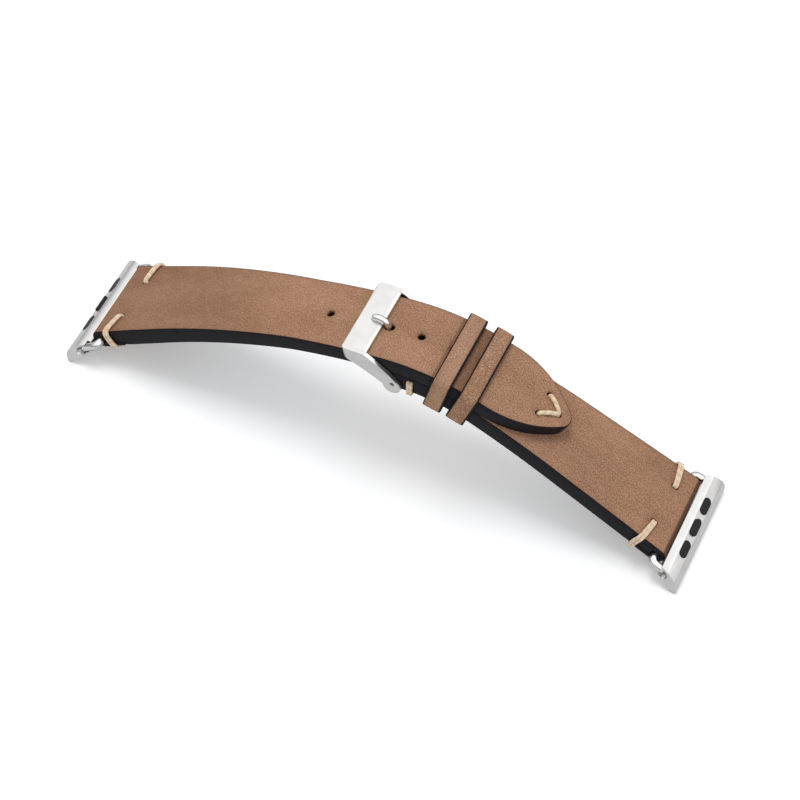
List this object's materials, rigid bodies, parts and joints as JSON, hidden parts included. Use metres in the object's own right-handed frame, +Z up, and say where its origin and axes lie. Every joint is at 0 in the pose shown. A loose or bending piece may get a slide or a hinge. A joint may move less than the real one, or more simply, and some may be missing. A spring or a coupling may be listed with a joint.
{
  "type": "watch strap",
  "caption": "Two-piece leather watch strap, buckled into an arch, with keepers, a pin buckle and a swivelling metal slide-in adapter at each end.",
  "frame": {"origin": "on the table, below the middle of the strap's box", "axes": "+X along the strap from the long piece's adapter to the short piece's, +Y across the strap, away from the viewer, +Z up from the table"},
  "size_m": [0.1361, 0.0268, 0.0351],
  "materials": {
    "outer_leather": "nubuck, mid brown",
    "lining_leather": "smooth, edges painted black",
    "waxed_thread": "waxed cream thread",
    "satin_steel": "satin",
    "bright_steel": "polished",
    "black_rubber": "matt black"
  },
  "bodies": {
    "strap": {"long_strap_leather": "outer_leather", "long_strap_lining": "lining_leather", "short_strap_leather": "outer_leather", "short_strap_lining": "lining_leather", "fixed_keeper": "outer_leather", "long_tack_near": "waxed_thread", "long_tack_far": "waxed_thread", "short_tack_near": "waxed_thread", "short_tack_far": "waxed_thread", "buckle_tack_near": "waxed_thread", "buckle_tack_far": "waxed_thread", "tail_stitch": "waxed_thread", "spring_bar_tube": "bright_steel"},
    "keeper": {"free_keeper": "outer_leather"},
    "buckle": {"buckle_frame": "satin_steel"},
    "prong": {"buckle_prong": "bright_steel"},
    "bar_tip_near": {"spring_bar_tip_near": "bright_steel"},
    "bar_tip_far": {"spring_bar_tip_far": "bright_steel"},
    "long_end": {"long_adapter": "satin_steel", "long_pad_near": "black_rubber", "long_pad_far": "black_rubber", "long_bow": "bright_steel"},
    "long_button": {"long_catch": "black_rubber"},
    "short_end": {"short_adapter": "satin_steel", "short_pad_near": "black_rubber", "short_pad_far": "black_rubber", "short_bow": "bright_steel"},
    "short_button": {"short_catch": "black_rubber"}
  },
  "joints": [
    {"name": "long_adapter_swivel", "type": "hinge", "parent": "strap", "child": "long_end", "pos_m": [-0.06126, 0, 0.00673], "axis": [0, 1, 0], "range_deg": [-60, 60]},
    {"name": "short_adapter_swivel", "type": "hinge", "parent": "strap", "child": "short_end", "pos_m": [0.0616, 0, 0.00505], "axis": [0, 1, 0], "range_deg": [-60, 60]},
    {"name": "free_keeper_slide", "type": "slide", "parent": "strap", "child": "keeper", "axis": [0.9471, 0, -0.321], "range_m": [-0.0006, 0.0016]},
    {"name": "buckle_swing", "type": "hinge", "parent": "strap", "child": "buckle", "pos_m": [0.00456, 0, 0.02747], "axis": [0, 1, 0], "range_deg": [-0.8, 1.5]},
    {"name": "prong_swing", "type": "hinge", "parent": "buckle", "child": "prong", "pos_m": [0.00456, 0, 0.02747], "axis": [0, 1, 0], "range_deg": [0, 1]},
    {"name": "bar_tip_near_press", "type": "slide", "parent": "strap", "child": "bar_tip_near", "axis": [0, 1, 0], "range_m": [0, 0.00115], "stiffness_N_per_m": 300, "springref_m": -0.001},
    {"name": "bar_tip_far_press", "type": "slide", "parent": "strap", "child": "bar_tip_far", "axis": [0, -1, 0], "range_m": [0, 0.00115], "stiffness_N_per_m": 300, "springref_m": -0.001},
    {"name": "long_catch_press", "type": "slide", "parent": "long_end", "child": "long_button", "axis": [0.7294, 0, -0.6841], "range_m": [0, 0.00045], "stiffness_N_per_m": 600, "springref_m": -0.0005},
    {"name": "short_catch_press", "type": "slide", "parent": "short_end", "child": "short_button", "axis": [-0.6423, 0, -0.7665], "range_m": [0, 0.00045], "stiffness_N_per_m": 600, "springref_m": -0.0005}
  ]
}
